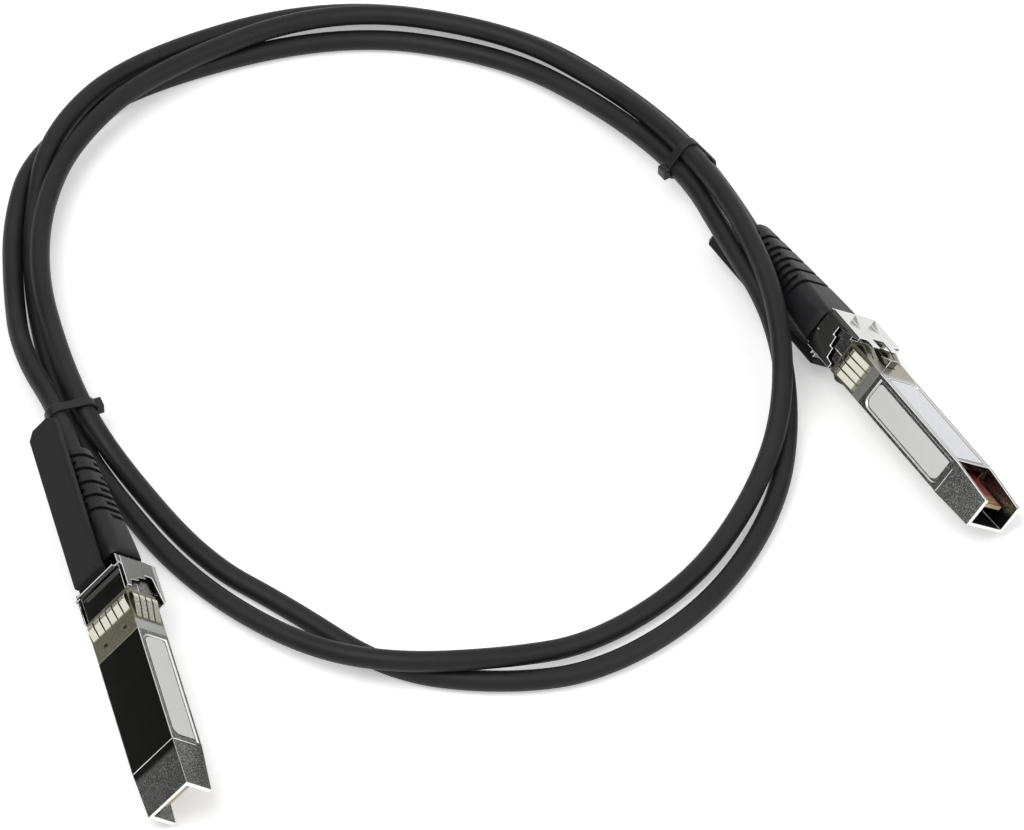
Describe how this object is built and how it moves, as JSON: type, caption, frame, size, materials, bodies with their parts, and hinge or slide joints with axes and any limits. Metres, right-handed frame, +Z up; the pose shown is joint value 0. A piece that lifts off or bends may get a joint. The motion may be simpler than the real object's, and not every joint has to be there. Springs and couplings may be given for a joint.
{
  "type": "direct attach copper cable",
  "caption": "coiled, tied network cable with a fixed pluggable metal end, shielding collar, ribbed boot and strap release at each end",
  "frame": {"origin": "centre of the footprint of the two plugs, on the surface the cable lies on", "axes": "+Z up from that surface; plug A points along -Y; plug B is turned 15.9 degrees from it"},
  "size_m": [0.203, 0.2228, 0.0198],
  "materials": {
    "cast_metal": "bright plated casting",
    "spring_metal": "thin stamped spring sheet",
    "board": "solder mask",
    "gold": "gold plating",
    "chip": "moulded package",
    "foil": "foil shield",
    "crimp": "crimped tube",
    "slider_metal": "stamped sheet",
    "tab_plastic": "fine grain",
    "boot_plastic": "satin moulding",
    "label_film": "bare film",
    "label_plate": "bare bright foil",
    "jacket": "smooth extruded jacket",
    "tie_plastic": "moulded strap"
  },
  "bodies": {
    "cable": {"plug_a_top_housing": "cast_metal", "plug_a_bottom_housing": "cast_metal", "plug_a_emi_collar": "spring_metal", "plug_a_paddle_card": "board", "plug_a_contact_pads": "gold", "plug_a_memory_chip": "chip", "plug_a_wire_pair_tx": "foil", "plug_a_wire_pair_rx": "foil", "plug_a_crimp_ferrule": "crimp", "plug_a_boot": "boot_plastic", "plug_a_side_label": "label_film", "plug_b_top_housing": "cast_metal", "plug_b_bottom_housing": "cast_metal", "plug_b_emi_collar": "spring_metal", "plug_b_paddle_card": "board", "plug_b_contact_pads": "gold", "plug_b_memory_chip": "chip", "plug_b_wire_pair_tx": "foil", "plug_b_wire_pair_rx": "foil", "plug_b_crimp_ferrule": "crimp", "plug_b_boot": "boot_plastic", "plug_b_side_label": "label_film", "plug_b_floor_label": "label_plate", "cable_jacket": "jacket", "cable_tie_left": "tie_plastic", "cable_tie_right": "tie_plastic"},
    "plug_a_release": {"plug_a_latch_slider": "slider_metal", "plug_a_pull_tab": "tab_plastic"},
    "plug_b_release": {"plug_b_latch_slider": "slider_metal", "plug_b_pull_tab": "tab_plastic"}
  },
  "joints": [
    {"name": "plug_a_release_slide", "type": "slide", "parent": "cable", "child": "plug_a_release", "axis": [0, 0.9993, 0.0384], "range_m": [0, 0.0022], "stiffness_N_per_m": 600, "springref_m": -0.0005},
    {"name": "plug_b_release_slide", "type": "slide", "parent": "cable", "child": "plug_b_release", "axis": [-0.274, 0.9617, 0], "range_m": [0, 0.0022], "stiffness_N_per_m": 600, "springref_m": -0.0005}
  ]
}
